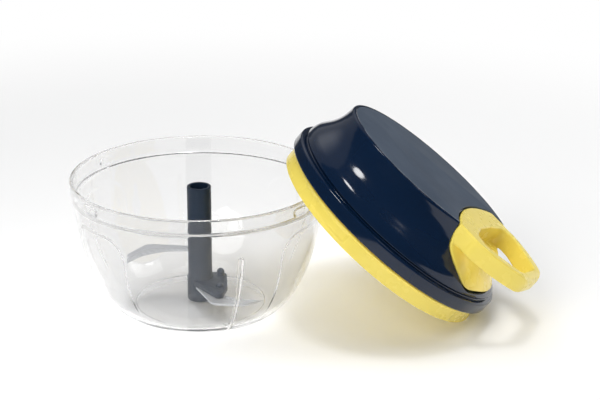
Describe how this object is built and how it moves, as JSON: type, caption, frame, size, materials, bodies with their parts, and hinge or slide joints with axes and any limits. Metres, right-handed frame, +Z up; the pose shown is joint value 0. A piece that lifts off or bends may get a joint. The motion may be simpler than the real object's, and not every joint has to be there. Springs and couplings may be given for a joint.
{
  "type": "pull-cord food chopper",
  "caption": "Clear bowl with a lift-out blade unit, and its navy and yellow pull-cord drive lid leaning open against the bowl's rim.",
  "frame": {"origin": "centre of the bowl's underside, on the table", "axes": "+Z up; +X towards the lid that leans on the rim; -Y towards the viewer of the picture"},
  "size_m": [0.2556, 0.14, 0.1139],
  "materials": {
    "clear_plastic": "clear gloss",
    "navy_gloss": "high gloss",
    "slate_matte": "soft matte",
    "navy_satin": "satin",
    "yellow_gloss": "satin gloss",
    "steel": "polished",
    "spring_steel": "tempered strip",
    "acetal": "moulded",
    "nylon": "moulded",
    "cord": "braided"
  },
  "bodies": {
    "bowl": {"bowl": "clear_plastic", "spindle_pin": "steel"},
    "bush": {"foot_bush": "acetal"},
    "blade_unit": {"blade_shaft": "navy_satin", "upper_blade": "steel", "lower_blade": "steel", "blade_rivet_1": "navy_satin", "blade_rivet_2": "navy_satin"},
    "lid": {"housing": "navy_gloss", "top_pad": "slate_matte", "base_ring": "yellow_gloss", "drive_bearing": "acetal", "centre_post": "steel", "cord_eyelet": "steel", "base_screw_1": "steel", "base_screw_2": "steel", "base_screw_3": "steel"},
    "handle": {"handle": "yellow_gloss", "cord_knot": "cord", "cord_lead": "cord"},
    "spool": {"spool": "nylon", "cord_winding": "cord", "recoil_spring": "spring_steel", "pawl_pin_1": "steel", "pawl_pin_2": "steel"},
    "pawl_1": {"pawl_1": "steel"},
    "pawl_2": {"pawl_2": "steel"},
    "driver": {"drive_hub": "acetal"}
  },
  "joints": [
    {"name": "blade_lift", "type": "slide", "parent": "bowl", "child": "bush", "axis": [0, 0, 1], "range_m": [0, 0.12]},
    {"name": "blade_spin", "type": "hinge", "parent": "bush", "child": "blade_unit", "pos_m": [0, 0, 0.01], "axis": [0, 0, 1], "continuous": true},
    {"name": "lid_lift", "type": "slide", "parent": "bowl", "child": "lid", "axis": [0, 0, 1], "range_m": [0, 0.2]},
    {"name": "handle_pull", "type": "slide", "parent": "lid", "child": "handle", "axis": [0.6845, -0.454, -0.5703], "range_m": [0, 0.25], "stiffness_N_per_m": 20, "springref_m": -0.05, "deforming": ["cord_lead"]},
    {"name": "spool_spin", "type": "hinge", "parent": "lid", "child": "spool", "pos_m": [0.1161, 0, 0.06357], "axis": [-0.6401, 0, -0.7683], "range_deg": [0, 950], "deforming": ["recoil_spring", "cord_winding"]},
    {"name": "driver_spin", "type": "hinge", "parent": "lid", "child": "driver", "pos_m": [0.10586, 0, 0.05128], "axis": [-0.6401, 0, -0.7683], "range_deg": [0, 950]},
    {"name": "pawl_1_swing", "type": "hinge", "parent": "spool", "child": "pawl_1", "pos_m": [0.11612, 0.00996, 0.05054], "axis": [0.6401, 0, 0.7683], "range_deg": [-10, 0], "stiffness_Nm_per_rad": 0.01, "springref_deg": 11.46},
    {"name": "pawl_2_swing", "type": "hinge", "parent": "spool", "child": "pawl_2", "pos_m": [0.10328, -0.00996, 0.06124], "axis": [0.6401, 0, 0.7683], "range_deg": [-10, 0], "stiffness_Nm_per_rad": 0.01, "springref_deg": 11.46}
  ],
  "couplings": [
    {"joint": "spool_spin", "follows": "handle_pull", "rad_per_m": 64.935},
    {"joint": "driver_spin", "follows": "handle_pull", "rad_per_m": 64.935}
  ]
}
